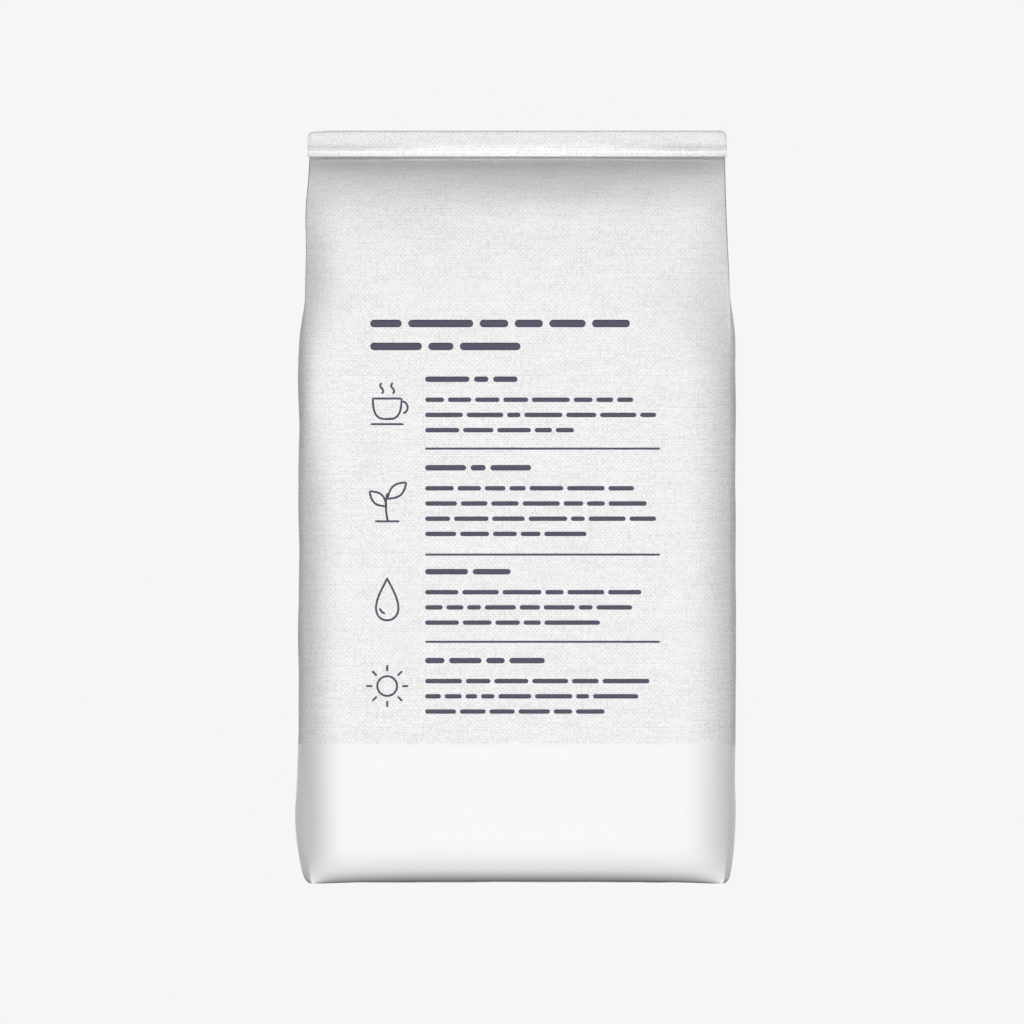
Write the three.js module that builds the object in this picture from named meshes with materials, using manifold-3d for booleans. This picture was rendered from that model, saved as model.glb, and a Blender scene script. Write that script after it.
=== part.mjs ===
// A coffee bag: one tube of white film with gusseted sides, filled, and shut by folding its top forward
// and down. It is one solid, because film and contents can't be seen apart.
// Millimetres, +Z up, the printed panel towards -Y, the origin in the middle of the base.
import * as THREE from 'three';
import { mergeVertices } from 'three/addons/utils/BufferGeometryUtils.js';
import Module from 'manifold-3d';

// Driving dimensions
const HEIGHT = 220.2; // floor to the top of the fold
const HALF_DEPTH = 33.5; // middle of the bag to the fullest part of the front panel
const PANEL_SHIFT = 0.43; // the panels sit this far right of the middle of the bulged sides

// Front and back panels, corner crease to corner crease
const PANEL_HALF = 62.1; // half width where the bag is full
const PANEL_HALF_NECK = 60.8; // half width under the fold
const PANEL_HALF_LOW = 61.3; // half width just above the floor
const PANEL_HALF_FOOT = 60.0; // half width on the floor
const FULL_WIDTH_Z = 60; // height from which the panels have their full width
const NECK_START = 168; // height where the panels start to narrow
const CORNER_FOOT = 12; // height over which a corner crease draws in to the floor
const PANEL_CROWN = 9.0; // the filled panel's flat stands this far in front of its corner creases
const ROLL_OFF = 13.0; // width over which the flat rounds back to a crease
const ROLL_POWER = 2.5;
const PANEL_SAG = 0.13; // share of the crown that the flat loses towards its sides

// Depth of the bag against height
const NECK_Z = 213; // height where the panels meet
const LEAN_REACH = 15; // they lean together over this height below it, and over a few times as much in all
const LEAN_POWER = 0.95; // the lower, the steeper at the neck
const SHOULDER_SHARE = 0.136; // share of the depth that is lost in the last millimetres under the neck
const SHOULDER_REACH = 2; // how fast that share is lost
const FOOT_ROLL = 12; // height over which a panel's crown rolls under to nothing on the floor
const FOOT_TUCK = 4; // the middle of a panel's lower edge is tucked in by this much more
const FOOT_TUCK_Z = 3.6; // over this height
const FOOT_TUCK_POWER = 4; // the higher, the squarer the tuck from corner to corner
const CORNER_SPREAD = 1.5; // the corner creases stand this much further apart on the floor
const CORNER_SPREAD_Z = 25; // and come together by this height

// Gussets in the sides: from each corner crease the film bulges out and comes back to a middle crease
const GUSSET_HALF = 28.2; // corner crease to middle crease, along the film
const MIDDLE_DIP = 7.6; // a filled side's middle crease lies this far inside its corner creases
const DIP_GROWS = 1.3; // and this much further for each millimetre that the panels have leaned together
const FOOT_DIP_LEFT = 4.6; // and this far near the floor, where the coffee pushes harder
const FOOT_DIP_RIGHT = 6.4;
const FOOT_DIP_Z = 16;
const SIDE_FOOT = 6.5; // height over which a side rolls in to the floor
const GUSSET_FOLDS = [152, 204]; // over these heights the middle crease goes in until the film is flat
const BULGE_FADES = [175, 200];
const GUSSET_CLOSES = [207, 212.6]; // and here the fold is pressed shut
const ARC_RISE = 0.375; // a shallow arc's rise over its chord, squared, for each share of spare length

// Folded top: film pressed together, over the top, down in front and turned in once
const NECK_HALF = 0.45; // half the thickness of the pressed film
const LAYER_GAP = 0.32; // between pressed layers
const FOLD_SPREAD = 0.5; // the fold is this much wider than the neck on each side
const FOLD_BOTTOM = 212.95; // lower edge of the fold
const FOLD_FRONT = 2.9; // front of the fold from the middle of the bag
const FOLD_SLOPE_Z = 216.6; // the fold's face slopes back above this height
const HEM = 2.3; // height of the turned-in end

// Underside
const RIM = 3.6; // width of the flat rim that the bag stands on
const RIM_SLOPE = 1.6;
const RECESS = 0.9; // the base stands this far off the floor inside the rim
const SEAL_HALF_LENGTH = 53; // the base seal lies folded flat towards the back, down on the floor
const SEAL_FOLD = -0.5; // where it leaves the base
const SEAL_END = 9; // where it ends
const EAR_HALF = 20; // half width of a folded ear where it leaves the side
const EAR_REACH = 26; // how far it reaches in
const EAR_Z = 0.45; // height of its face from the floor
const PLATE_ROOT = 1; // how far seal and ears reach up into the base

// Steps
const PANEL_STEPS = 20; // across each panel
const SIDE_STEPS = 16; // across each side, even so that one point is the middle crease
const FOOT_STEPS = 6;
const BODY_STEPS = 30;
const NECK_PACKING = 1.7; // above 1, the body's steps shorten towards the neck
const BEND_STEPS = 5; // round each bend of the folded top

const { smoothstep, lerp, clamp } = THREE.MathUtils;

// Rises from 0 at the floor to 1 at the given height, as a quarter ellipse does.
function footArc(z, height) {
  const t = clamp(1 - z / height, 0, 1);
  return Math.sqrt(1 - t * t);
}

// 1 where the bag is full, 0 where the panels meet.
function fullness(z) {
  const below = Math.max(0, NECK_Z - z);
  const lean = 1 - Math.exp(-Math.pow(below / LEAN_REACH, LEAN_POWER));
  const shoulder = 1 - Math.exp(-below / SHOULDER_REACH);
  return lerp(lean, shoulder, SHOULDER_SHARE);
}

function panelHalf(z) {
  const upper = lerp(PANEL_HALF, PANEL_HALF_NECK, smoothstep(z, NECK_START, NECK_Z));
  const low = (PANEL_HALF - PANEL_HALF_LOW) * (1 - smoothstep(z, 0, FULL_WIDTH_Z));
  const foot = (PANEL_HALF_LOW - PANEL_HALF_FOOT) * (1 - footArc(z, CORNER_FOOT));
  return upper - low - foot;
}

function cornerSpread(z) {
  return CORNER_SPREAD * (1 - smoothstep(z, 0, CORNER_SPREAD_Z));
}

// Depth of the corner creases from the middle of the bag.
function creaseDepth(z) {
  const full = HALF_DEPTH - PANEL_CROWN - NECK_HALF;
  return NECK_HALF + full * fullness(z) + cornerSpread(z);
}

// How far a panel's flat stands in front of its corner creases, or on the floor behind them.
function panelCrown(z) {
  return PANEL_CROWN * footArc(z, FOOT_ROLL) * fullness(z) - cornerSpread(z);
}

// 1 over a panel's flat, 0 at its corner creases.
function acrossPanel(x, half) {
  const t = clamp((Math.abs(x) - (half - ROLL_OFF)) / ROLL_OFF, 0, 1);
  return (1 - Math.pow(t, ROLL_POWER)) * (1 - PANEL_SAG * (x / half) ** 2);
}

// How far the middle crease lies inside the corner creases on the side that faces left, -1, or right, 1.
function gussetDepth(z, facing) {
  const half = Math.min(creaseDepth(z), GUSSET_HALF);
  const folded = Math.sqrt(GUSSET_HALF ** 2 - half ** 2);
  const low = (z - FOOT_DIP_Z) / FOOT_DIP_Z;
  const footDip = facing < 0 ? FOOT_DIP_LEFT : FOOT_DIP_RIGHT;
  const leaned = (HALF_DEPTH - PANEL_CROWN) * (1 - fullness(z));
  const upperDip = MIDDLE_DIP + DIP_GROWS * leaned;
  const filled = lerp(upperDip, footDip, Math.exp(-low * low)) * footArc(z, SIDE_FOOT);
  return lerp(filled, folded, smoothstep(z, ...GUSSET_FOLDS)) * (1 - smoothstep(z, ...GUSSET_CLOSES));
}

// How far the film between a corner crease and the middle crease bulges from the straight line between them:
// as far as its length allows.
function gussetBulge(z, chord) {
  const spare = Math.max(0, GUSSET_HALF / chord - 1);
  return chord * Math.sqrt(ARC_RISE * spare) * footArc(z, SIDE_FOOT) * (1 - smoothstep(z, ...BULGE_FADES));
}

// Places round the bag at one height: front from the left corner crease, right side, back and left side.
function section(z, extraHalf = 0) {
  const half = panelHalf(z) + extraHalf;
  const depth = creaseDepth(z);
  const crown = panelCrown(z);
  const footTuck = FOOT_TUCK * (1 - footArc(z, FOOT_TUCK_Z));
  const points = [];
  const panel = (facing) => {
    for (let i = 0; i < PANEL_STEPS; i++) {
      // a sine packs the steps towards the creases
      const x = half * Math.sin((i / PANEL_STEPS - 0.5) * Math.PI) * -facing;
      const tuck = footTuck * (1 - (x / half) ** FOOT_TUCK_POWER);
      points.push([x, facing * (depth + crown * acrossPanel(x, half) - tuck)]);
    }
  };
  const side = (facing) => {
    const dip = gussetDepth(z, facing);
    const chord = Math.hypot(depth, dip);
    const bulge = gussetBulge(z, chord);
    for (let i = 0; i < SIDE_STEPS; i++) {
      const v = (1 - (2 * i) / SIDE_STEPS) * -facing;
      const arc = 4 * bulge * Math.abs(v) * (1 - Math.abs(v));
      const x = half - dip * (1 - Math.abs(v)) + (arc * depth) / chord;
      points.push([facing * x, v * depth + (Math.sign(v) * arc * dip) / chord]);
    }
  };
  panel(-1);
  side(1);
  panel(1);
  side(-1);
  return points.map(([x, y]) => [x + PANEL_SHIFT, y]);
}

// The middle line of the pressed film above the neck, as [y, z, direction]; the direction is in radians
// from straight up, and turns towards the front.
function foldPath() {
  const bend = NECK_HALF + LAYER_GAP / 2; // radius of each bend's middle line
  const top = HEIGHT - NECK_HALF - bend;
  const low = FOLD_BOTTOM + NECK_HALF + bend;
  const front = -FOLD_FRONT + NECK_HALF;
  const over = -2 * bend;
  const slope = Math.atan2(over - front, top - FOLD_SLOPE_Z);
  const path = [[0, NECK_Z, 0], [0, (NECK_Z + top) / 2, 0]];
  for (let i = 0; i <= BEND_STEPS; i++) {
    const turn = (i / BEND_STEPS) * (Math.PI - slope);
    path.push([-bend + bend * Math.cos(turn), top + bend * Math.sin(turn), turn]);
  }
  path.push([front, FOLD_SLOPE_Z, Math.PI - slope / 2]);
  for (let i = 0; i <= BEND_STEPS; i++) {
    const turn = Math.PI + (i / BEND_STEPS) * Math.PI;
    path.push([front + bend + bend * Math.cos(turn), low + bend * Math.sin(turn), turn]);
  }
  path.push([front + 2 * bend, low + HEM, 2 * Math.PI]);
  return path;
}

// Rings of places in space, from the floor to the turned-in end of the folded top.
function rings() {
  const made = [];
  for (let i = 0; i < FOOT_STEPS; i++) {
    const z = FOOT_ROLL * (1 - Math.cos((i / FOOT_STEPS) * (Math.PI / 2)));
    made.push(section(z).map(([x, y]) => [x, y, z]));
  }
  for (let i = 0; i < BODY_STEPS; i++) {
    // steps shorten towards the neck
    const z = lerp(NECK_Z, FOOT_ROLL, Math.pow(1 - i / BODY_STEPS, NECK_PACKING));
    made.push(section(z).map(([x, y]) => [x, y, z]));
  }
  foldPath().forEach(([y, z, turn], i) => {
    const spread = i === 0 ? 0 : FOLD_SPREAD;
    made.push(section(NECK_Z, spread).map(([x, across]) => [
      x, y + across * Math.cos(turn), z + across * Math.sin(turn),
    ]));
  });
  return made;
}

// Rings inside the base, towards its middle: the rim's inner edge and the edge of the recess.
function baseRings(foot) {
  const inset = (width, z) => foot.map(([x, y]) => [
    PANEL_SHIFT + (x - PANEL_SHIFT) * (1 - width / PANEL_HALF_FOOT),
    y * (1 - width / (HALF_DEPTH - PANEL_CROWN + CORNER_SPREAD)),
    z,
  ]);
  return [inset(RIM + RIM_SLOPE, RECESS), inset(RIM, 0)];
}

// A closed skin over rings of equal length, with a point in the middle of each end.
function skin(loops) {
  const size = loops[0].length;
  const positions = loops.flat(2);
  const middle = (loop) => [0, 1, 2].map((k) => loop.reduce((sum, p) => sum + p[k], 0) / size);
  const first = loops.length * size;
  positions.push(...middle(loops[0]), ...middle(loops.at(-1)));
  const index = [];
  for (let r = 0; r + 1 < loops.length; r++) {
    for (let i = 0; i < size; i++) {
      const a = r * size + i;
      const b = r * size + ((i + 1) % size);
      index.push(a, b, b + size, a, b + size, a + size);
    }
  }
  for (let i = 0; i < size; i++) {
    const next = (i + 1) % size;
    const last = (loops.length - 1) * size;
    index.push(first, next, i, first + 1, last + i, last + next);
  }
  const geometry = new THREE.BufferGeometry();
  geometry.setAttribute('position', new THREE.Float32BufferAttribute(positions, 3));
  geometry.setIndex(index);
  return geometry;
}

// A flat plate with the given outline, from height z up into the base.
function plate(outline, z) {
  const shape = new THREE.Shape(outline.map(([x, y]) => new THREE.Vector2(x, y)));
  const geometry = new THREE.ExtrudeGeometry(shape, { depth: RECESS + PLATE_ROOT - z, bevelEnabled: false });
  return geometry.translate(PANEL_SHIFT, 0, z);
}

function baseSeal() {
  const outline = [
    [-SEAL_HALF_LENGTH, SEAL_FOLD], [SEAL_HALF_LENGTH, SEAL_FOLD],
    [SEAL_HALF_LENGTH, SEAL_END], [-SEAL_HALF_LENGTH, SEAL_END],
  ];
  return plate(outline, 0);
}

// A gusset's lower end, folded flat into a triangle under the base.
function ear(side) {
  const edge = PANEL_HALF_FOOT - RIM - RIM_SLOPE;
  const outline = [
    [side * edge, side * -EAR_HALF], [side * edge, side * EAR_HALF], [side * (edge - EAR_REACH), 0],
  ];
  return plate(outline, EAR_Z);
}

const wasm = await Module();
wasm.setup();

function solid(geometry) {
  geometry.deleteAttribute('normal');
  geometry.deleteAttribute('uv');
  const merged = mergeVertices(geometry, 1e-4);
  return new wasm.Manifold(new wasm.Mesh({
    numProp: 3,
    vertProperties: new Float32Array(merged.attributes.position.array),
    triVerts: new Uint32Array(merged.index.array),
  }));
}

function geometryOf(manifold) {
  const mesh = manifold.getMesh();
  const geometry = new THREE.BufferGeometry();
  geometry.setAttribute('position', new THREE.BufferAttribute(mesh.vertProperties, 3));
  geometry.setIndex(new THREE.BufferAttribute(mesh.triVerts, 1));
  geometry.computeVertexNormals();
  return geometry;
}

function makeBag() {
  const standing = rings();
  const body = solid(skin([...baseRings(standing[0]), ...standing]));
  const whole = body.add(solid(baseSeal())).add(solid(ear(-1))).add(solid(ear(1)));
  const film = new THREE.MeshStandardMaterial({ color: 0xf1f1f1, roughness: 0.55, metalness: 0 });
  const bag = new THREE.Mesh(geometryOf(whole), film);
  bag.name = 'bag';
  return bag;
}

const group = new THREE.Group();
group.add(makeBag());

export default group;
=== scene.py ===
# A filled coffee bag of white film with a linen weave: the film from its base to its folded top, the
# folded ends under the base, the lap seam down the back, and the print on the front.
import math

import bmesh
import bpy
import numpy as np
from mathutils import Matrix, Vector
from mathutils.bvhtree import BVHTree


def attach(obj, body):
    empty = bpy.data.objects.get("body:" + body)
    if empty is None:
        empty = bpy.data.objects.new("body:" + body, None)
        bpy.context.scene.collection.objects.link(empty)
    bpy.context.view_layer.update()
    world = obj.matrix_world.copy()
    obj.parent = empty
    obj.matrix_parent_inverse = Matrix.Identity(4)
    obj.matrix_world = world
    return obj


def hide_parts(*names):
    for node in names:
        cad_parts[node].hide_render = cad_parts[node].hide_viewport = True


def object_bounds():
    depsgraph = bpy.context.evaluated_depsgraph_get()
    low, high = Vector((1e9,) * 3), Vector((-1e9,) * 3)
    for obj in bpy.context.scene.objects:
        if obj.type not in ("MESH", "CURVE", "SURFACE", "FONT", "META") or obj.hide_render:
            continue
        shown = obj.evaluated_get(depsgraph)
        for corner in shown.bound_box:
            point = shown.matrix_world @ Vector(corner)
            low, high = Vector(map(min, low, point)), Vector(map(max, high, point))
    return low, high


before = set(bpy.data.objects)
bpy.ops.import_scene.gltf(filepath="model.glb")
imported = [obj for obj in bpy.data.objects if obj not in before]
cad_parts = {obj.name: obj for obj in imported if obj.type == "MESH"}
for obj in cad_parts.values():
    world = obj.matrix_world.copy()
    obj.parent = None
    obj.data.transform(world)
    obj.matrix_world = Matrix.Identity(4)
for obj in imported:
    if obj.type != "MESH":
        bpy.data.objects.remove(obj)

CAD_LOW, CAD_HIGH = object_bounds()

# Lengths of the bag are in millimetres here, and Blender's are in metres. The shape stays close to the
# solid's, and takes its height and depth from it.
MM = 0.001
HEIGHT = CAD_HIGH.z / MM
HALF_DEPTH = CAD_HIGH.y / MM

# Front and back panels
PANEL_SHIFT = 0.43
PANEL_HALF = 62.1
PANEL_HALF_NECK = 60.8
PANEL_HALF_LOW = 61.3
PANEL_HALF_FOOT = 60.0
FULL_WIDTH_Z = 60
NECK_START = 168
CORNER_FOOT = 12
PANEL_CROWN = 9.0
ROLL_POWER = 2.7
PANEL_SAG = 0.13

# Width over which a panel's flat rounds back to a crease: left and right, each low down and high up
ROLL_LEFT = (13.0, 13.4)
ROLL_RIGHT = (15.4, 16.0)
ROLL_CHANGES = (90, 120)

# Depth against height
NECK_Z = 212.5
LEAN_REACH = 15.0
LEAN_POWER = 0.95
SHOULDER_SHARE = 0.19
SHOULDER_REACH = 1.8
FOOT_ROLL = 12
FOOT_TUCK = 3.1
FOOT_TUCK_Z = 3.1
FOOT_TUCK_POWER = 4
FOOT_RAISE = 0.6
FOOT_RAISE_Z = 14
CORNER_SPREAD = 0.8
CORNER_SPREAD_Z = 25

# Gussets; the foot's dip is that of the left side, -1, and of the right, 1
GUSSET_HALF = 28.2
MIDDLE_DIP = 7.6
DIP_GROWS = 1.3
FOOT_DIP = {-1: 4.6, 1: 6.2}
FOOT_DIP_Z = 16
SIDE_FOOT = 5.2
GUSSET_FOLDS = (152, 204)
BULGE_FADES = (160, 196)
GUSSET_CLOSES = (207, 212.6)
ARC_RISE = 0.375

# Folded top
NECK_HALF = 0.45
FOLD_SPREAD = 0.5
FOLD_SPREAD_ROWS = 5
FOLD_BOTTOM = 212.5
FOLD_FRONT = 4.3
FOLD_SLOPE_Z = 215.6
TOP_BEND = 0.05
TOP_WIDTH = 2.3
LOW_DEPTH = 1.1
LOW_HEIGHT = 1.5
LOW_ROUND = 1.5
LOW_BEND = 0.25
HEM = 2.1
LEFT_SLOPE = 0.45
LEFT_SLOPE_X = 54.5
LEFT_CORNER = 1.5
RIGHT_CORNER = 2.0
CORNER_BAND = 2

# The fold's front stands further out low down at its ends
END_STEP = 1.35
END_STEP_Z = (213.7, 216.4)
END_STEP_X = (22, 48)
END_STEP_DEPTH = (1, 2.5)

# Underside
RIM = 3.6
RIM_SLOPE = 1.6
RECESS = 0.9
BASE_INNERMOST = 0.98

# Hollows beside the front's corner creases: which crease, how far inside it, height, depth, and reach
# across and up; a depth below 0 swells
EDGE_HOLLOWS = [(-1, 0, 177, 3.8, 15, 15), (-1, 0, 147, -4.6, 9, 24), (1, 6, 174, 6.4, 16, 18)]

# Swelling of the front under the fold: place across, height, how far it stands out, reach across and up
SHOULDER_SWELL = (8, 199, 1.5, 26, 7)

# The left edge stands out a little under the fold: how far, height, reach up, and how fast it fades inwards
LEFT_SHOULDER = 0.8
LEFT_SHOULDER_Z = 197
LEFT_SHOULDER_REACH = 9
LEFT_SHOULDER_POWER = 4

# Unevenness of the film. Each panel's waves: height, length, and how the places are scaled across and up
PANEL_WAVES = [(0.16, 46, 1.0, 0.6), (0.03, 13, 0.7, 1.0)]
PANEL_FADE_POWER = 6
PANEL_WAVES_START = (2, 20)
PANEL_WAVES_DEPTH = 12
FRONT_SEED = 3
BACK_SEED = 8
SIDE_RELIEF = 0.25
SIDE_WAVE = 24
SIDE_WAVE_UP = 0.7
SIDE_FADE_POWER = 4
SIDE_WAVES_START = (3, 16)
RIGHT_SEED = 21
LEFT_SEED = 34
WAVE_COUNT = 7
WAVE_STRETCH = (0.7, 1.5)

# Creases are softened between these heights
CREASE_STARTS = (3, 30)
CREASE_ENDS = (150, 185)
CREASE_SOFTNESS = 0.5

# Lap seam down the back, a little off its middle
SEAM_X = 4.0
SEAM_HALF = 5.0
SEAM_EDGE = 0.6
SEAM_RISE = 0.4
SEAM_STARTS = (4, 14)
SEAM_ENDS = (200, 211)

# Points of the film's mesh
PANEL_COLUMNS = 130
SIDE_COLUMNS = 46
COLUMN_PACKING = 0.8
FOOT_ROWS = 22
BODY_ROWS = 172
NECK_PACKING = 1.6
FOLD_STEP = 0.26
ROUND_STEPS = 14
BEND_STEPS = 6
FOLD_SOFTENINGS = 2
BASE_ROWS = 10

# Columns of the mesh on each side of the bag
FRONT = slice(0, PANEL_COLUMNS)
RIGHT = slice(FRONT.stop, FRONT.stop + SIDE_COLUMNS)
BACK = slice(RIGHT.stop, RIGHT.stop + PANEL_COLUMNS)
LEFT = slice(BACK.stop, BACK.stop + SIDE_COLUMNS)
COLUMNS = LEFT.stop


def smooth(z, start, end):
    """0 below start, 1 above end, and a smooth rise between them."""
    t = np.clip((z - start) / (end - start), 0, 1)
    return t * t * (3 - 2 * t)


def mix(low, high, t):
    return low + (high - low) * t


def swell(across, reach_across, up, reach_up):
    """1 where both distances are 0, and a smooth fall to 0 over their reaches."""
    return np.exp(-((across / reach_across) ** 2) - (up / reach_up) ** 2)


def foot_arc(z, height):
    """Rises from 0 at the floor to 1 at the given height, as a quarter ellipse does."""
    return np.sqrt(1 - np.clip(1 - z / height, 0, 1) ** 2)


def fullness(z):
    """1 where the bag is full, 0 where the panels meet."""
    below = np.clip(NECK_Z - z, 0, None)
    shoulder = 1 - np.exp(-below / SHOULDER_REACH)
    lean = 1 - np.exp(-((below / LEAN_REACH) ** LEAN_POWER))
    return mix(lean, shoulder, SHOULDER_SHARE)


def panel_half(z):
    """Half the width between the corner creases."""
    upper = mix(PANEL_HALF, PANEL_HALF_NECK, smooth(z, NECK_START, NECK_Z))
    low = (PANEL_HALF - PANEL_HALF_LOW) * (1 - smooth(z, 0, FULL_WIDTH_Z))
    foot = (PANEL_HALF_LOW - PANEL_HALF_FOOT) * (1 - foot_arc(z, CORNER_FOOT))
    return upper - low - foot


def corner_spread(z):
    """How far the foot's corners stand out."""
    return CORNER_SPREAD * (1 - smooth(z, 0, CORNER_SPREAD_Z))


def crease_depth(z):
    """Depth of the corner creases from the middle of the bag."""
    return NECK_HALF + (HALF_DEPTH - PANEL_CROWN - NECK_HALF) * fullness(z) + corner_spread(z)


def panel_crown(z):
    """How far a panel's flat stands in front of its corner creases."""
    return PANEL_CROWN * foot_arc(z, FOOT_ROLL) * fullness(z) - corner_spread(z)


def roll_width(x, z):
    """Width over which a panel rounds back to the crease on its side."""
    low = np.where(x < 0, ROLL_LEFT[0], ROLL_RIGHT[0])
    high = np.where(x < 0, ROLL_LEFT[1], ROLL_RIGHT[1])
    return mix(low, high, smooth(z, *ROLL_CHANGES))


def across_panel(x, half, z):
    """1 in the middle of a panel, 0 at its corner creases."""
    width = roll_width(x, z)
    t = np.clip((np.abs(x) - (half - width)) / width, 0, 1)
    return (1 - t**ROLL_POWER) * (1 - PANEL_SAG * (x / half) ** 2)


def gusset_depth(z, facing):
    """How far the middle crease lies inside the corner creases, on the left side, -1, or the right, 1."""
    half = np.minimum(crease_depth(z), GUSSET_HALF)
    folded = np.sqrt(GUSSET_HALF**2 - half**2)
    low = (z - FOOT_DIP_Z) / FOOT_DIP_Z
    lost = (HALF_DEPTH - PANEL_CROWN) * (1 - fullness(z))
    upper = MIDDLE_DIP + DIP_GROWS * lost
    filled = mix(upper, FOOT_DIP[facing], np.exp(-low * low)) * foot_arc(z, SIDE_FOOT)
    return mix(filled, folded, smooth(z, *GUSSET_FOLDS)) * (1 - smooth(z, *GUSSET_CLOSES))


def gusset_bulge(z, chord):
    """How far the film bulges from the straight line between a corner crease and the middle crease."""
    spare = np.maximum(0, GUSSET_HALF / chord - 1)
    return chord * np.sqrt(ARC_RISE * spare) * foot_arc(z, SIDE_FOOT) * (1 - smooth(z, *BULGE_FADES))


def panel(z, facing, spread):
    """Places across the front panel, -1, or the back panel, 1, one row for each height."""
    half = panel_half(z) + spread
    reach = COLUMN_PACKING * math.pi / 2
    t = np.linspace(-1, 1, PANEL_COLUMNS, endpoint=False)
    x = half * np.sin(t * reach) / math.sin(reach) * -facing
    tuck = FOOT_TUCK * (1 - foot_arc(z, FOOT_TUCK_Z)) * (1 - (x / half) ** FOOT_TUCK_POWER)
    return x, facing * (crease_depth(z) + panel_crown(z) * across_panel(x, half, z) - tuck)


def side(z, facing, spread):
    """Places across the left side, -1, or the right side, 1, one row for each height."""
    half = panel_half(z) + spread
    depth = crease_depth(z)
    dip = gusset_depth(z, facing)
    chord = np.hypot(depth, dip)
    t = np.linspace(0, 1, SIDE_COLUMNS, endpoint=False)
    # the steps shorten towards the creases
    packed = t - np.sin(4 * math.pi * t) / (4 * math.pi) * COLUMN_PACKING
    v = (1 - 2 * packed) * -facing
    arched = 4 * gusset_bulge(z, chord) * np.abs(v) * (1 - np.abs(v))
    x = half - dip * (1 - np.abs(v)) + arched * depth / chord
    return facing * x, v * depth + np.sign(v) * arched * dip / chord


def section(z, spread=0):
    """Places round the bag from the front's left corner crease, as x and y, one row for each height."""
    parts = [panel(z, -1, spread), side(z, 1, spread), panel(z, 1, spread), side(z, -1, spread)]
    x, y = (np.concatenate([part[k] for part in parts], axis=1) for k in (0, 1))
    return x + PANEL_SHIFT, y


def body_heights():
    """Heights of the body's rows, closer together at the foot and towards the neck."""
    foot = FOOT_ROLL * (1 - np.cos(np.linspace(0, math.pi / 2, FOOT_ROWS, endpoint=False)))
    t = np.linspace(0, 1, BODY_ROWS, endpoint=False)
    body = NECK_Z - (NECK_Z - FOOT_ROLL) * (1 - t) ** NECK_PACKING
    return np.concatenate([foot, body])


def arc(middle, radius, start, end, steps):
    """Points on an arc in the (y, z) plane; its angles are in radians from +Y, turning towards +Z."""
    angles = np.linspace(start, end, steps)
    return [(middle[0] + radius * math.cos(a), middle[1] + radius * math.sin(a)) for a in angles]


def path_lengths(path):
    """Distance along a path from its start to each of its points."""
    return np.concatenate([[0], np.cumsum(np.hypot(*np.diff(path, axis=0).T))])


def fold_path():
    """The middle line of the pressed film above the neck, in even steps: y, z and its direction's angle."""
    front = -FOLD_FRONT + NECK_HALF
    top_z = HEIGHT - NECK_HALF - TOP_BEND
    lean = math.atan2(-TOP_WIDTH - front, top_z - FOLD_SLOPE_Z)
    low_z = FOLD_BOTTOM + NECK_HALF
    low_y = front + LOW_DEPTH
    corners = [(0, NECK_Z), *arc((-TOP_BEND, top_z), TOP_BEND, 0, math.pi / 2, BEND_STEPS)]
    corners += arc((TOP_BEND - TOP_WIDTH, top_z), TOP_BEND, math.pi / 2, math.pi - lean, BEND_STEPS)
    corners.append((front, FOLD_SLOPE_Z))
    for y, z in arc((0, 0), 1, math.pi, math.pi * 1.5, ROUND_STEPS):
        inwards = LOW_DEPTH * (1 - abs(y) ** LOW_ROUND)
        corners.append((front + inwards, low_z + LOW_HEIGHT * (1 - abs(z) ** LOW_ROUND)))
    corners += arc((low_y, low_z + LOW_BEND), LOW_BEND, math.pi * 1.5, math.tau, BEND_STEPS)[1:]
    corners.append((low_y + LOW_BEND, low_z + LOW_BEND + HEM))
    corners = np.array(corners)
    lengths = path_lengths(corners)
    along = np.linspace(0, lengths[-1], int(lengths[-1] / FOLD_STEP))
    y, z = (np.interp(along, lengths, corners[:, k]) for k in (0, 1))
    for _ in range(FOLD_SOFTENINGS):
        y[1:-1] = (y[:-2] + 2 * y[1:-1] + y[2:]) / 4
        z[1:-1] = (z[:-2] + 2 * z[1:-1] + z[2:]) / 4
    turn = np.unwrap(np.arctan2(-np.gradient(y), np.gradient(z)))
    return y, z, turn


def corner_drop(distance, radius):
    """How far a rounded corner lies below the edge, at a distance inside its end."""
    t = np.clip(1 - distance / radius, 0, 1)
    return radius * (1 - np.sqrt(1 - t * t))


def fold_rows():
    """Rows of places in space round the pressed film of the folded top."""
    y, z, turn = (a[:, None] for a in fold_path())
    spread = FOLD_SPREAD * smooth(np.arange(len(y))[:, None], 0, FOLD_SPREAD_ROWS)
    x, across = section(np.full_like(y, NECK_Z), spread)
    rows = np.stack([x, y + across * np.cos(turn), z + across * np.sin(turn)], axis=2)
    x = rows[:, :, 0] - PANEL_SHIFT
    end = PANEL_HALF_NECK + FOLD_SPREAD
    slope = LEFT_SLOPE * np.clip((-x - LEFT_SLOPE_X) / (end - LEFT_SLOPE_X), 0, 1)
    drop = slope + corner_drop(end + x, LEFT_CORNER) + corner_drop(end - x, RIGHT_CORNER)
    rows[:, :, 2] -= drop * smooth(rows[:, :, 2], FOLD_BOTTOM + CORNER_BAND, HEIGHT)
    step = smooth(np.abs(x), *END_STEP_X) * (1 - smooth(rows[:, :, 2], *END_STEP_Z))
    rows[:, :, 1] -= END_STEP * step * smooth(-rows[:, :, 1], *END_STEP_DEPTH)
    return rows


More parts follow.
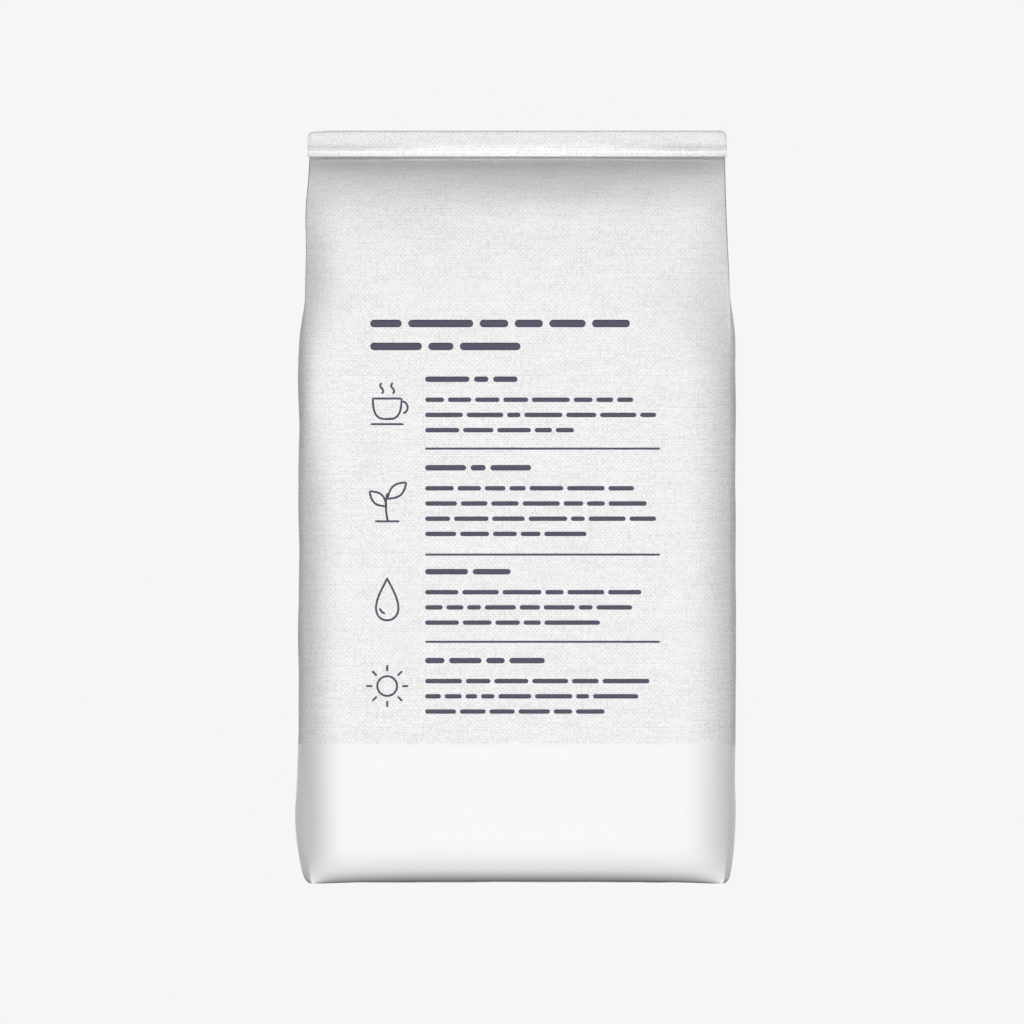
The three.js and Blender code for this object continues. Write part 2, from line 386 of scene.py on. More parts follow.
def base_rows(foot):
    """Rows in the base, from its middle outwards, that join the first row of the body."""
    reach_x = PANEL_HALF_FOOT
    reach_y = HALF_DEPTH - PANEL_CROWN + CORNER_SPREAD
    recessed = np.linspace(reach_y * BASE_INNERMOST, RIM + RIM_SLOPE, BASE_ROWS - 3)
    rows = []
    for width in np.concatenate([recessed, [RIM, RIM / 2]]):
        height = RECESS * smooth(width, RIM, RIM + RIM_SLOPE)
        row = foot.copy()
        row[:, 0] = PANEL_SHIFT + (row[:, 0] - PANEL_SHIFT) * (1 - width / reach_x)
        row[:, 1] *= 1 - width / reach_y
        row[:, 2] = np.maximum(height, foot[:, 2])
        rows.append(row)
    return np.array(rows)


def waves(a, b, length, seed):
    """Smooth uneven waves of about the given length over two coordinates, mostly between -1 and 1."""
    draw = np.random.default_rng(seed)
    total = 0
    for _ in range(WAVE_COUNT):
        turn = draw.uniform(0, math.tau)
        stretch = draw.uniform(*WAVE_STRETCH)
        phase = draw.uniform(0, math.tau)
        way = a * math.cos(turn) + b * math.sin(turn)
        total = total + np.sin(way * math.tau / length * stretch + phase)
    return total / math.sqrt(WAVE_COUNT)


def ring_length(places):
    """Distance round each row from its first place, with the full length at the end."""
    closed = np.concatenate([places, places[:, :1]], axis=1)
    steps = np.linalg.norm(np.diff(closed, axis=1), axis=2)
    return np.concatenate([np.zeros((len(places), 1)), np.cumsum(steps, axis=1)], axis=1)


def press_hollows(places):
    """Presses the hollows beside the front's corner creases back into the bag."""
    around = ring_length(places)
    total = around[:, -1:]
    front_end = around[:, FRONT.stop:FRONT.stop + 1]
    # places on the left side are counted back from the front's left crease
    turn = around[:, :-1].copy()
    turn[:, LEFT] -= total
    z = places[:, :, 2]
    for facing, inside, height, depth, across, up in EDGE_HOLLOWS:
        distance = turn - inside if facing < 0 else turn - front_end + inside
        places[:, :, 1] += depth * swell(distance, across, z - height, up)


def swell_shoulder(places):
    """Swells the front under the fold, and the left edge beside it."""
    middle, height, rise, across, up = SHOULDER_SWELL
    x, z = places[:, FRONT, 0], places[:, FRONT, 2]
    places[:, FRONT, 1] -= rise * swell(x - middle, across, z - height, up)
    leftwards = np.clip(-places[:, :, 0] / PANEL_HALF, 0, 1) ** LEFT_SHOULDER_POWER
    near = swell(0, 1, places[:, :, 2] - LEFT_SHOULDER_Z, LEFT_SHOULDER_REACH)
    places[:, :, 0] -= LEFT_SHOULDER * leftwards * near


def roughen_panels(places, z):
    """Makes the front and the back uneven, less so towards their edges, foot and neck."""
    thick = np.clip(crease_depth(z) / PANEL_WAVES_DEPTH, 0, 1)
    for part, facing, seed in ((FRONT, -1, FRONT_SEED), (BACK, 1, BACK_SEED)):
        px, pz = places[:, part, 0], places[:, part, 2]
        edge = 1 - (np.abs(px - PANEL_SHIFT) / panel_half(z)) ** PANEL_FADE_POWER
        relief = 0
        for order, (height, length, across, up) in enumerate(PANEL_WAVES):
            relief = relief + height * waves(px * across, pz * up, length, seed + order)
        places[:, part, 1] += facing * edge * smooth(pz, *PANEL_WAVES_START) * thick * relief


def raise_seam(places, z):
    """Raises the lap seam from the back."""
    lap = smooth(-np.abs(places[:, BACK, 0] - SEAM_X), -SEAM_HALF - SEAM_EDGE, -SEAM_HALF)
    places[:, BACK, 1] += SEAM_RISE * lap * smooth(z, *SEAM_STARTS) * (1 - smooth(z, *SEAM_ENDS))


def roughen_sides(places):
    """Makes the gussets uneven between their creases."""
    for part, facing, seed in ((RIGHT, 1, RIGHT_SEED), (LEFT, -1, LEFT_SEED)):
        py, pz = places[:, part, 1], places[:, part, 2]
        edge = 1 - (np.abs(py) / np.abs(py).max(axis=1, keepdims=True)) ** SIDE_FADE_POWER
        relief = SIDE_RELIEF * waves(py, pz * SIDE_WAVE_UP, SIDE_WAVE, seed)
        places[:, part, 0] += facing * edge * smooth(pz, *SIDE_WAVES_START) * relief


def film_rows():
    """All rows of the film from the middle of the base to the turned-in end of the folded top."""
    z = body_heights()[:, None]
    x, y = section(z)
    inside = np.clip(np.abs(x - PANEL_SHIFT) / panel_half(z), 0, 1)
    raised = FOOT_RAISE * (1 - inside**FOOT_TUCK_POWER) * (1 - smooth(z, 0, FOOT_RAISE_Z))
    body = np.stack([x, y, z + raised], axis=2)
    press_hollows(body)
    swell_shoulder(body)
    roughen_panels(body, z)
    raise_seam(body, z)
    roughen_sides(body)
    return np.concatenate([base_rows(body[0]), body, fold_rows()])


def soften_creases(rows):
    """Takes the sharpness off the corner creases and middle creases, and keeps the bag's width."""
    x, z = rows[:, :, 0], rows[:, :, 2]
    free = smooth(z, *CREASE_STARTS) * (1 - smooth(z, *CREASE_ENDS))
    low, high = x.min(axis=1, keepdims=True), x.max(axis=1, keepdims=True)
    between = (np.roll(rows, 1, axis=1) + np.roll(rows, -1, axis=1)) / 2
    soft = rows + (between - rows) * (free * CREASE_SOFTNESS)[:, :, None]
    x = soft[:, :, 0]
    new_low, new_high = x.min(axis=1, keepdims=True), x.max(axis=1, keepdims=True)
    soft[:, :, 0] = low + (x - new_low) / (new_high - new_low) * (high - low)
    return soft


def new_mesh(name, points, faces):
    """A piece in the scene, from points in millimetres."""
    mesh = bpy.data.meshes.new(name)
    mesh.from_pydata([tuple(p) for p in np.asarray(points) * MM], [], faces)
    mesh.update()
    piece = bpy.data.objects.new(name, mesh)
    bpy.context.scene.collection.objects.link(piece)
    return piece


def shade(piece, material):
    piece.data.materials.append(material)
    for polygon in piece.data.polygons:
        polygon.use_smooth = True


def make_film():
    """The film, as one closed mesh, and how far along its map the weave starts."""
    rows = soften_creases(film_rows())
    count = len(rows)
    middles = [rows[0].mean(axis=0), rows[-1].mean(axis=0)]
    points = np.concatenate([rows.reshape(-1, 3), middles])
    faces = []
    for r in range(count - 1):
        for i in range(COLUMNS):
            a, b = r * COLUMNS + i, r * COLUMNS + (i + 1) % COLUMNS
            faces.append((a, b, b + COLUMNS, a + COLUMNS))
    first = count * COLUMNS
    last = (count - 1) * COLUMNS
    for i in range(COLUMNS):
        after = (i + 1) % COLUMNS
        faces.append((first, after, i))
        faces.append((first + 1, last + i, last + after))
    piece = new_mesh("bag_film", points, faces)
    return piece, map_film(piece, rows)


def map_film(piece, rows):
    """Lays two maps on the film, both as the unrolled tube: one in millimetres, one in the unit square."""
    around = ring_length(rows).max(axis=0)
    front = rows[:, PANEL_COLUMNS // 2]
    steps = np.linalg.norm(np.diff(front, axis=0), axis=1)
    along = np.concatenate([[0], np.cumsum(steps)])
    along = along - along[BASE_ROWS - 1]
    mesh = piece.data
    millimetres = mesh.uv_layers.new(name="film")
    unit = mesh.uv_layers.new(name="OFBake")
    corners = np.empty(len(mesh.loops), dtype=int)
    mesh.loops.foreach_get("vertex_index", corners)
    quads = (len(rows) - 1) * COLUMNS * 4
    index = corners[:quads].reshape(-1, 4)
    row, column = index // COLUMNS, index % COLUMNS
    # the last quad of a row ends where the map does, and not back at its start
    column = np.where((column == 0) & (column.max(axis=1, keepdims=True) > 1), COLUMNS, column)
    u = np.zeros(len(mesh.loops))
    v = np.zeros(len(mesh.loops))
    u[:quads] = around[column].ravel()
    v[:quads] = along[row].ravel()
    unit_v = (v - along[0]) / (along[-1] - along[0])
    for layer, places in ((millimetres, (u, v)), (unit, (u / around[-1], unit_v))):
        layer.data.foreach_set("uv", np.stack(places, axis=1).ravel().astype(np.float32))
    mesh.uv_layers.active = unit
    body = slice(BASE_ROWS - 1, BASE_ROWS - 1 + FOOT_ROWS + BODY_ROWS)
    return float(np.interp(WEAVE_END, front[body, 2], along[body]))


# Materials: the linen weave ends at this height on the front, and the film is smooth below it
WEAVE_END = 40.7
FILM_ROUGHNESS = 0.62
WEAVE_ROUGHNESS = 0.2
SMOOTH_FILM = (0.925, 0.925, 0.925, 1)
# The weave's colours, low in its gaps and high on its threads: its own light and dark specks, with painted
# shade in the gaps and a painted highlight on the raised threads
CLOTH_GAP_AND_SHADE = (0.72, 0.72, 0.72, 1)
CLOTH_THREAD_AND_HIGHLIGHT = (1.0, 1.0, 1.0, 1)
WEAVE_BUMP = 0.5
WEAVE_DEPTH = 0.06

# Threads of the weave: their pitch, how they wander, and how sharp the gaps between them are
THREAD_ACROSS = 0.68
THREAD_UP = 0.72
WANDER = 0.5
WANDER_SCALE = 0.3
GAP_POWER = 1.4
THREAD_LEVEL = 0.78
OVER_RISE = 0.22
SLUB_RISE = 0.5
SLUB_SCALE = 1.1
SLUB_ACROSS = 0.1

# Masks that let the gaps be seen here and there: how a mask is scaled over u and v, how its noise rises,
# and the share that it lets through, at least and at most
MASK_RISE = (0.4, 0.66)
WEFT_MASK = (0.8, 1.4)
WEFT_SEEN = (0.15, 1.0)
WARP_MASK = (1.3, 0.4)
WARP_SEEN = (0.0, 0.9)
PATCH_SCALE = 0.11
PATCH_RISE = (0.35, 0.65)
PATCH_SEEN = (0.25, 1.0)

# Plain inner side of the film, which shows on the folded ends under the base
PLAIN_DARK = (0.86, 0.86, 0.86, 1)
PLAIN_LIGHT = (0.93, 0.93, 0.93, 1)
PLAIN_ROUGHNESS = 0.6
PLAIN_SCALE = 220
PLAIN_BUMP = 0.3
PLAIN_DEPTH = 0.1


class Nodes:
    """Builds a material's node tree with one short call for each node."""

    def __init__(self, name):
        self.material = bpy.data.materials.new(name)
        self.material.use_nodes = True
        self.tree = self.material.node_tree
        self.shader = self.tree.nodes["Principled BSDF"]

    def add(self, kind, inputs=(), output=0, **settings):
        node = self.tree.nodes.new(kind)
        for key, value in settings.items():
            setattr(node, key, value)
        for key, value in dict(inputs).items():
            self.feed(node.inputs[key], value)
        return node.outputs[output]

    def feed(self, socket, value):
        if isinstance(value, bpy.types.NodeSocket):
            self.tree.links.new(value, socket)
        else:
            socket.default_value = value

    def math(self, operation, a, b=0.0):
        return self.add("ShaderNodeMath", {0: a, 1: b}, operation=operation)

    def plus(self, a, b):
        return self.math("ADD", a, b)

    def minus(self, a, b):
        return self.math("SUBTRACT", a, b)

    def times(self, a, b):
        return self.math("MULTIPLY", a, b)

    def remap(self, value, span, to_span):
        inputs = {0: value, 1: span[0], 2: span[1], 3: to_span[0], 4: to_span[1]}
        return self.add("ShaderNodeMapRange", inputs, interpolation_type="SMOOTHSTEP")

    def noise(self, vector, scale, detail=1.0):
        inputs = {"Vector": vector, "Scale": scale, "Detail": detail}
        return self.add("ShaderNodeTexNoise", inputs)

    def place(self, x, y, z=0.0):
        return self.add("ShaderNodeCombineXYZ", {0: x, 1: y, 2: z})

    def split(self, vector):
        node = self.tree.nodes.new("ShaderNodeSeparateXYZ")
        self.feed(node.inputs[0], vector)
        return node.outputs

    def blend(self, share, a, b):
        mixer = self.tree.nodes.new("ShaderNodeMix")
        mixer.data_type = "RGBA"
        self.feed(mixer.inputs["Factor"], share)
        self.feed(mixer.inputs[6], a)
        self.feed(mixer.inputs[7], b)
        return mixer.outputs[2]

    def finish(self, colour, roughness, height, strength, depth):
        """Feeds the shader, with a bump of the given strength, and its depth in millimetres."""
        bump = self.add("ShaderNodeBump", {"Strength": strength, "Distance": depth * MM, "Height": height})
        self.feed(self.shader.inputs["Base Color"], colour)
        self.feed(self.shader.inputs["Roughness"], roughness)
        self.feed(self.shader.inputs["Normal"], bump)
        return self.material


def gaps(nodes, across, pitch, seen):
    """Gaps between threads, 1 in the middle of a gap, where a mask lets them be seen; the film is coloured
    darker in them, partly the weave's own dark specks and partly painted shade.
    """
    thread = nodes.math("ABSOLUTE", nodes.math("SINE", nodes.times(across, math.pi / pitch)))
    gap = nodes.math("POWER", nodes.minus(1.0, thread), GAP_POWER)
    return nodes.times(gap, seen)


def mask(nodes, u, v, stretch, shift, seen):
    """Shares between the two of seen, in patches that are stretched over u and v."""
    place = nodes.place(nodes.times(u, stretch[0]), nodes.times(v, stretch[1]), shift)
    return nodes.remap(nodes.noise(place, 1.0), MASK_RISE, seen)


def weave(nodes, u, v):
    """Height of a slubby plain weave over two coordinates in millimetres, higher on threads than in gaps."""
    place = nodes.place(u, v)
    wander = nodes.times(nodes.minus(nodes.noise(place, WANDER_SCALE, 2.0), 0.5), WANDER)
    across = nodes.plus(u, wander)
    up = nodes.plus(v, wander)
    weft_seen = mask(nodes, u, v, WEFT_MASK, 0.0, WEFT_SEEN)
    warp_seen = mask(nodes, u, v, WARP_MASK, 7.0, WARP_SEEN)
    warp_share = nodes.remap(nodes.noise(place, PATCH_SCALE), PATCH_RISE, PATCH_SEEN)
    weft_gaps = gaps(nodes, up, THREAD_UP, weft_seen)
    warp_gaps = gaps(nodes, across, THREAD_ACROSS, nodes.times(warp_seen, warp_share))
    # a thread that passes over its neighbours stands higher than one that passes under
    warp_over = nodes.math("COSINE", nodes.times(across, math.pi / THREAD_ACROSS))
    weft_over = nodes.math("COSINE", nodes.times(up, math.pi / THREAD_UP))
    over = nodes.times(warp_over, weft_over)
    slub_place = nodes.place(nodes.times(u, SLUB_ACROSS), v, 3.0)
    slubs = nodes.times(nodes.minus(nodes.noise(slub_place, SLUB_SCALE), 0.5), SLUB_RISE)
    threads = nodes.plus(nodes.times(over, OVER_RISE), THREAD_LEVEL)
    return nodes.plus(nodes.minus(threads, nodes.plus(weft_gaps, warp_gaps)), slubs)


def film_material(woven_from):
    """Linen weave above the given place on the film's map, and smooth film below it. The weave's colour
    follows its height: darker low in the gaps and lighter on raised threads, which is painted shade and a
    painted highlight over the weave's own light and dark specks.
    """
    nodes = Nodes("film")
    u, v = nodes.split(nodes.add("ShaderNodeUVMap", uv_map="film"))[:2]
    height = weave(nodes, u, v)
    woven = nodes.math("GREATER_THAN", v, woven_from)
    # painted shade in the gaps and a painted highlight on raised threads, over the weave's own specks
    colour = nodes.blend(woven, SMOOTH_FILM, nodes.blend(height, CLOTH_GAP_AND_SHADE, CLOTH_THREAD_AND_HIGHLIGHT))
    roughness = nodes.plus(nodes.times(woven, WEAVE_ROUGHNESS), FILM_ROUGHNESS)
    return nodes.finish(colour, roughness, nodes.times(height, woven), WEAVE_BUMP, WEAVE_DEPTH)


def plain_film():
    """The film's plain side, with a faint unevenness."""
    nodes = Nodes("plain film")
    faint = nodes.noise(nodes.add("ShaderNodeTexCoord", output="Object"), PLAIN_SCALE, 3.0)
    colour = nodes.blend(faint, PLAIN_DARK, PLAIN_LIGHT)
    return nodes.finish(colour, PLAIN_ROUGHNESS, faint, PLAIN_BUMP, PLAIN_DEPTH)


bag_film, weave_start = make_film()
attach(bag_film, "root")
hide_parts("bag")
shade(bag_film, film_material(weave_start))


def slab(outer, inner, closed=False):
    """Points and faces of the thin solid between two grids of places; a closed one joins its last row."""
    rows, columns = outer.shape[:2]
    under = rows * columns
    faces = []
    for r in range(rows if closed else rows - 1):
        after = (r + 1) % rows
        for c in range(columns - 1):
            a, b = r * columns + c, r * columns + c + 1
            d, e = after * columns + c + 1, after * columns + c
            faces.append((a, b, d, e))
            faces.append((under + a, under + e, under + d, under + b))
        a, e = r * columns, after * columns
        faces.append((a, e, under + e, under + a))
        a, e = a + columns - 1, e + columns - 1
        faces.append((e, a, under + a, under + e))
    if not closed:
        last = (rows - 1) * columns
        for c in range(columns - 1):
            faces.append((c + 1, c, under + c, under + c + 1))
            faces.append((last + c, last + c + 1, under + last + c + 1, under + last + c))
    return np.concatenate([outer.reshape(-1, 3), inner.reshape(-1, 3)]), faces


def make_slabs(name, slabs):
    """One piece of several thin solids."""
    points, faces = [], []
    for slab_points, slab_faces in slabs:
        first = sum(len(part) for part in points)
        points.append(slab_points)
        faces += [tuple(first + i for i in face) for face in slab_faces]
    piece = new_mesh(name, np.concatenate(points), faces)
    shell = bmesh.new()
    shell.from_mesh(piece.data)
    bmesh.ops.recalc_face_normals(shell, faces=shell.faces)
    shell.to_mesh(piece.data)
    shell.free()
    return piece


# Folded ends under the base; their upper sides end just inside the film
FLAP_TOP = 0.96

# The seal's edges across the base, its crimped band and its points along and across
SEAL_HALF_LENGTH = 53
SEAL_FOLD = -0.5
SEAL_END = 9
SEAL_Z = 0.4
SEAL_ROUND = 0.5
SEAL_EDGE_RISE = 0.25
SEAL_WAVE = (0.06, 30, 5)
CRIMP_STARTS = (1.5, 2.2)
CRIMP_ENDS = (8.0, 8.6)
RIDGE_PITCH = 1.6
RIDGE_DEPTH = 0.12
SEAL_POINTS = (420, 20)

# The ears: half width at their start, reach inwards, how round their sides are, and half width at their tip
EAR_HALF = 20
EAR_REACH = 26
EAR_ROUND = 3.0
EAR_TIP = 0.4
EAR_Z = 0.45
EAR_EDGE_RISE = 0.15
EAR_EDGE_POWER = 8
EAR_WAVE = (0.08, 18, 11)
EAR_POINTS = (40, 30)


def flap(x, y, low):
    """A thin solid with the given underside, up to just inside the film."""
    x, y, low = np.broadcast_arrays(x, y, low)
    return slab(np.stack([x, y, low], axis=2), np.stack([x, y, np.full_like(low, FLAP_TOP)], axis=2))


def base_seal():
    """The crimped seal, folded flat under the base."""
    x = np.linspace(-SEAL_HALF_LENGTH, SEAL_HALF_LENGTH, SEAL_POINTS[0])[:, None] + PANEL_SHIFT
    y = np.linspace(SEAL_FOLD, SEAL_END, SEAL_POINTS[1])[None, :]
    crimped = smooth(y, *CRIMP_STARTS) * (1 - smooth(y, *CRIMP_ENDS))
    ridge = RIDGE_DEPTH * crimped * (0.5 - 0.5 * np.cos(y * math.tau / RIDGE_PITCH))
    rounded = SEAL_EDGE_RISE * (1 - smooth(y, SEAL_FOLD, SEAL_FOLD + SEAL_ROUND))
    rise, length, seed = SEAL_WAVE
    low = SEAL_Z + ridge + rounded + rise * waves(x, y, length, seed)
    return make_slabs("base_seal", [flap(x, y, low)])


def base_ears():
    """The gussets' lower ends, each folded flat into a triangle under the base."""
    along = np.linspace(0, 1, EAR_POINTS[0])[:, None]
    across = np.linspace(-1, 1, EAR_POINTS[1])[None, :]
    half = EAR_HALF * (1 - along) + EAR_ROUND * np.sqrt(along) * (1 - along) + EAR_TIP
    edge = PANEL_HALF_FOOT - RIM - RIM_SLOPE
    rise, length, seed = EAR_WAVE
    flaps = []
    for facing in (-1, 1):
        x = facing * (edge - EAR_REACH * along) + PANEL_SHIFT
        y = across * half
        sides = EAR_EDGE_RISE * np.abs(across) ** EAR_EDGE_POWER
        flaps.append(flap(x, y, EAR_Z + rise * waves(x, y, length, seed) + sides))
    return make_slabs("base_ears", flaps)


inner_side = plain_film()
for piece in (base_seal(), base_ears()):
    shade(piece, inner_side)
    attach(piece, "root")


# Print on the front, with bars for words: a heading, four short texts with a drawing each, and rules
# between them
INK_PROUD = 0.05
INK_GAP = (0.09, 0.08, 0.135, 1)
INK_THREAD = (0.062, 0.055, 0.1, 1)
INK_ROUGHNESS = 0.7
STROKE_STEP = 0.6
STROKE_COLUMNS = 5
CAP_STEPS = 6
BOW_STEPS = 14
LINE_HALF = 0.31

# Words, in heights of their bars: the shortest that ends a line, the lengths drawn, and the gap between
SHORTEST_WORD = 2.2
WORD_LENGTHS = (2.6, 9.0)
WORD_GAP = 0.85
WORD_SEED = 12

# Heading: height and length of each line
HEADING = [(163.8, 76), (157.1, 44)]
HEADING_LEFT = -42.6
HEADING_BAR = 2.2
TEXT_LEFT = -26.5
TITLE_BAR = 1.6
BODY_BAR = 1.3
LINE_PITCH = 4.45
TITLE_TO_BODY = 6.0
BODY_LENGTHS = (60, 68)
LAST_LENGTHS = (40, 56)
RULE_LENGTH = 68.7
RULES = [127.2, 96.2, 70.7]
DRAWING_X = -37.6


def stroke(path, half, closed=False):
    """A grid of x and z places over a line with round ends or a closed one, and whether it is closed."""
    path = np.array(path, dtype=float)
    if closed:
        path = np.concatenate([path, path[:1]])
    lengths = path_lengths(path)
    total = lengths[-1]
    steps = max(3, int(total / STROKE_STEP))
    if closed:
        at = np.linspace(0, total, steps, endpoint=False)
        halves = np.full(steps, half)
    else:
        cap = half * (1 - np.cos(np.linspace(0, math.pi / 2, CAP_STEPS)))
        at = np.concatenate([cap, np.linspace(half, total - half, steps)[1:-1], total - cap[::-1]])
        inside = np.clip(1 - np.minimum(at, total - at) / half, 0, 1)
        halves = np.maximum(half * np.sqrt(1 - inside**2), half / 20)
    middle = np.stack([np.interp(at, lengths, path[:, k]) for k in (0, 1)], axis=1)
    if closed:
        ahead = np.roll(middle, -1, axis=0) - np.roll(middle, 1, axis=0)
    else:
        ahead = np.gradient(middle, axis=0)
    ahead /= np.linalg.norm(ahead, axis=1, keepdims=True)
    across = np.stack([-ahead[:, 1], ahead[:, 0]], axis=1)
    spread = np.linspace(-1, 1, STROKE_COLUMNS)
    return middle[:, None] + across[:, None] * halves[:, None, None] * spread[None, :, None], closed


def words(draw, left, length, z, height):
    """Bars as long as words, side by side, over the given length."""
    bars = []
    x = left
    end_of_line = left + length
    shortest = SHORTEST_WORD * height
    while x < end_of_line - shortest:
        end = x + draw.uniform(*WORD_LENGTHS) * height
        if end > end_of_line - 2 * shortest:
            end = end_of_line
        bars.append(stroke([(x, z), (end, z)], height / 2))
        x = end + WORD_GAP * height
    return bars


def bow(start, end, rise):
    """Places along an arched line between two places."""
    t = np.linspace(0, 1, BOW_STEPS)[:, None]
    start, end = np.array(start, dtype=float), np.array(end, dtype=float)
    ahead = end - start
    out = np.array([-ahead[1], ahead[0]]) / np.linalg.norm(ahead)
    return start + ahead * t + out * rise * np.sin(math.pi * t)


def ring(x, z, radius, start=0, end=360, steps=28):
    """Places along a circle or a part of it, between two angles in degrees."""
    a = np.radians(np.linspace(start, end, steps, endpoint=end - start < 360))
    return np.stack([x + radius * np.cos(a), z + radius * np.sin(a)], axis=1)


def leaf(start, tip, swelling):
    return np.concatenate([bow(start, tip, swelling)[:-1], bow(tip, start, swelling)[:-1]])


# Each drawing is a list of lines about its own middle, each with whether it is closed


def cup():
    t = np.linspace(0, math.pi, 24)
    rim_to_rim = -4.2 * np.sign(np.cos(t)) * np.abs(np.cos(t)) ** 0.6
    bowl = np.stack([rim_to_rim, 1.8 - 6.0 * np.sin(t) ** 0.8], axis=1)
    handle = ring(4.2, -0.8, 1.8, -75, 80, 14)
    lines = [(bowl, True), (handle, False), ([(-4.8, -5.7), (4.8, -5.7)], False)]
    for x in (-1.6, 1.6):
        z = np.linspace(3.2, 6.4, 10)
        lines.append((np.stack([x + 0.5 * np.sin((z - 3.2) * 2), z], axis=1), False))
    return lines


def sprout():
    return [
        (bow((0.2, -6), (0, 2.2), 0.5), False),
        (leaf((0.1, 0.6), (5.6, 5.4), 1.7), True),
        (leaf((-0.2, -1.6), (-5.2, 2.8), 1.6), True),
        ([(-3.6, -6), (3.6, -6)], False),
    ]


def drop():
    t = np.linspace(0, math.tau, 40, endpoint=False)
    outline = np.stack([4.6 * np.sin(t) * np.sin(t / 2) ** 1.4, -0.6 + 6.2 * np.cos(t)], axis=1)
    return [(outline, True), (ring(0, -2.6, 2.3, 195, 255, 8), False)]


def sunburst():
    rays = []
    for angle in np.radians(np.arange(0, 360, 45)):
        way = np.array([math.cos(angle), math.sin(angle)])
        rays.append(([way * 4.3, way * 6.2], False))
    return [(ring(0, 0, 2.9), True)] + rays


# Each text: height of its title, the title's length, its number of lines and its drawing
TEXTS = [(147.5, 27, 3, cup), (121.6, 31, 4, sprout), (91.2, 25, 3, drop), (65.2, 35, 3, sunburst)]


def ink(name, strokes, film):
    """A thin layer of ink on the film's front, as one piece."""
    slabs = []
    for grid, closed in strokes:
        places = np.empty((*grid.shape[:2], 3))
        for r, c in np.ndindex(*grid.shape[:2]):
            x, z = grid[r, c]
            hit = film.ray_cast(Vector((x, -100, z)) * MM, Vector((0, 1, 0)))[0]
            places[r, c] = x, hit.y / MM, z
        slabs.append(slab(places - (0, INK_PROUD, 0), places + (0, INK_PROUD, 0), closed))
    piece = make_slabs(name, slabs)
    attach(piece, "root")
    return piece


def ink_material():
    """Dusty purple-grey ink, broken a little by the weave under it."""
    nodes = Nodes("ink")
    x, _, z = nodes.split(nodes.add("ShaderNodeTexCoord", output="Object"))
    height = weave(nodes, nodes.times(x, 1 / MM), nodes.times(z, 1 / MM))
    colour = nodes.blend(height, INK_GAP, INK_THREAD)
    return nodes.finish(colour, INK_ROUGHNESS, height, WEAVE_BUMP, WEAVE_DEPTH)


def make_print():
    draw = np.random.default_rng(WORD_SEED)
    heading, text, drawings = [], [], []
    for z, length in HEADING:
        heading += words(draw, HEADING_LEFT, length, z, HEADING_BAR)
    for title_z, length, lines, drawing in TEXTS:
        text += words(draw, TEXT_LEFT, length, title_z, TITLE_BAR)
        body_z = title_z - TITLE_TO_BODY
        for line in range(lines):
            body_length = draw.uniform(*(LAST_LENGTHS if line == lines - 1 else BODY_LENGTHS))
            text += words(draw, TEXT_LEFT, body_length, body_z - line * LINE_PITCH, BODY_BAR)
        middle = title_z - TITLE_TO_BODY / 2 - (lines - 1) * LINE_PITCH / 2
        for path, closed in drawing():
            drawings.append(stroke(np.asarray(path) + (DRAWING_X, middle), LINE_HALF, closed))
    rules = [stroke([(TEXT_LEFT, z), (TEXT_LEFT + RULE_LENGTH, z)], LINE_HALF) for z in RULES]
    points = [vertex.co for vertex in bag_film.data.vertices]
    film = BVHTree.FromPolygons(points, [polygon.vertices for polygon in bag_film.data.polygons])
    material = ink_material()
    parts = {"print_heading": heading, "print_text": text, "print_icons": drawings, "print_rules": rules}
    for name, strokes in parts.items():
        shade(ink(name, strokes, film), material)


make_print()


# Camera: the photo's frame shows this width, and this x and z lie in its middle
FRAME_WIDTH = 299.52
FRAME_MIDDLE = (-1.10, 108.66)
CAMERA_Y = -1000

# Studio: pale surroundings, a soft key light from the front, one soft light from behind on each side and
# one from behind above. Sizes are the lights' angles in degrees.
PALE = (0.9216, 0.9216, 0.9216, 1)
AMBIENT = (0.04, 0.04, 0.04, 1)
KEY_LIGHT = 2.95
KEY_SIZE = 20
RIM_LIGHT = 1.2
RIM_TURN = 149
RIM_RISE = 6
RIM_SIZE = 30
HAIR_LIGHT = 1.4
HAIR_RISE = 40
HAIR_SIZE = 10
FLOOR_REACH = 40


def make_camera():
    data = bpy.data.cameras.new("camera")
    data.type = "ORTHO"
    data.ortho_scale = FRAME_WIDTH * MM
    data.clip_end = 100
    camera = bpy.data.objects.new("camera", data)
    camera.location = Vector((FRAME_MIDDLE[0], CAMERA_Y, FRAME_MIDDLE[1])) * MM
    camera.rotation_euler = (math.pi / 2, 0, 0)
    bpy.context.scene.collection.objects.link(camera)
    bpy.context.scene.camera = camera


def sun(name, azimuth, elevation, strength, size):
    """A soft distant light; azimuth 0 shines along +Y from the camera's side."""
    data = bpy.data.lights.new(name, "SUN")
    data.energy = strength
    data.angle = math.radians(size)
    light = bpy.data.objects.new(name, data)
    a, e = math.radians(azimuth), math.radians(elevation)
    source = Vector((math.sin(a) * math.cos(e), -math.cos(a) * math.cos(e), math.sin(e)))
    light.rotation_euler = source.to_track_quat("Z", "Y").to_euler()
    light.location = source
    bpy.context.scene.collection.objects.link(light)


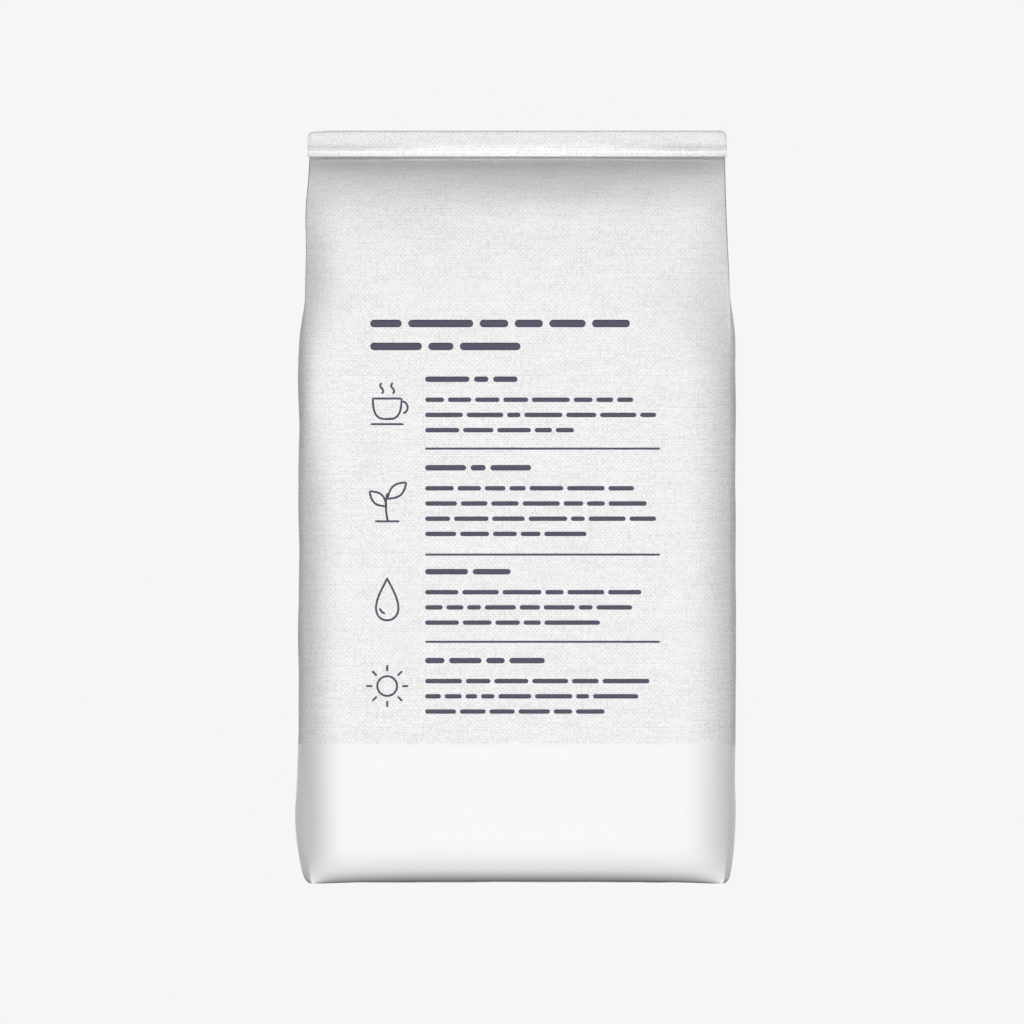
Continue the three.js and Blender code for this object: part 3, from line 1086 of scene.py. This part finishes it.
def make_studio():
    """The lights, and surroundings that the camera sees pale and that light the bag a little."""
    sun("key", 0, 0, KEY_LIGHT, KEY_SIZE)
    sun("rim_left", -RIM_TURN, RIM_RISE, RIM_LIGHT, RIM_SIZE)
    sun("rim_right", RIM_TURN, RIM_RISE, RIM_LIGHT, RIM_SIZE)
    sun("hair", 180, HAIR_RISE, HAIR_LIGHT, HAIR_SIZE)
    world = bpy.data.worlds.new("studio")
    bpy.context.scene.world = world
    world.use_nodes = True
    tree = world.node_tree
    tree.nodes.clear()
    seen = tree.nodes.new("ShaderNodeBackground")
    seen.inputs["Color"].default_value = PALE
    lit = tree.nodes.new("ShaderNodeBackground")
    lit.inputs["Color"].default_value = AMBIENT
    path = tree.nodes.new("ShaderNodeLightPath")
    chosen = tree.nodes.new("ShaderNodeMixShader")
    output = tree.nodes.new("ShaderNodeOutputWorld")
    tree.links.new(path.outputs["Is Camera Ray"], chosen.inputs[0])
    tree.links.new(lit.outputs[0], chosen.inputs[1])
    tree.links.new(seen.outputs[0], chosen.inputs[2])
    tree.links.new(chosen.outputs[0], output.inputs["Surface"])
    bpy.context.scene.view_settings.view_transform = "Standard"


def make_floor():
    """A floor as pale as the surroundings, which neither lights the bag nor is shaded by it."""
    mesh = bpy.data.meshes.new("floor")
    corners = [(x * FLOOR_REACH, y * FLOOR_REACH, 0) for x, y in ((-1, -1), (1, -1), (1, 1), (-1, 1))]
    mesh.from_pydata(corners, [], [(0, 1, 2, 3)])
    floor = bpy.data.objects.new("floor", mesh)
    bpy.context.scene.collection.objects.link(floor)
    material = bpy.data.materials.new("floor")
    material.use_nodes = True
    shader = material.node_tree.nodes["Principled BSDF"]
    shader.inputs["Base Color"].default_value = (0, 0, 0, 1)
    shader.inputs["Specular IOR Level"].default_value = 0
    shader.inputs["Emission Color"].default_value = PALE
    shader.inputs["Emission Strength"].default_value = 1
    mesh.materials.append(material)
    floor.visible_diffuse = False
    floor.visible_glossy = False
    floor.visible_shadow = False


make_camera()
make_studio()
make_floor()
